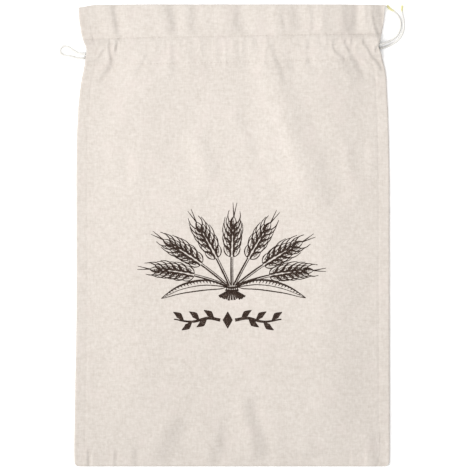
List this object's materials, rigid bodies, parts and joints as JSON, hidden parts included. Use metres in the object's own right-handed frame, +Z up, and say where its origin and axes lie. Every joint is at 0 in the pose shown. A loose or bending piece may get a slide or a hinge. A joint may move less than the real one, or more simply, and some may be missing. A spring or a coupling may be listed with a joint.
{
  "type": "linen drawstring bread bag",
  "caption": "Flat drawstring bag of natural linen, lying on its back with its mouth a little open and a cord through the casing below the header.",
  "frame": {"origin": "on the surface that the bag lies on, under the middle of the bag", "axes": "+Y towards the mouth, +X to the right seen from above, +Z up, out of the printed face"},
  "size_m": [0.3289, 0.4388, 0.0156],
  "materials": {
    "linen": "plain weave with slubs, matte",
    "cotton_cord": "twisted cotton, matte",
    "thread": "matte sewing thread",
    "print": "matte dark brown print"
  },
  "bodies": {
    "root": {"front_panel": "linen", "back_panel": "linen", "cord_front_run": "cotton_cord", "cord_back_run": "cotton_cord", "cord_loop": "cotton_cord", "cord_tail_front": "cotton_cord", "cord_tail_back": "cotton_cord"}
  },
  "joints": []
}
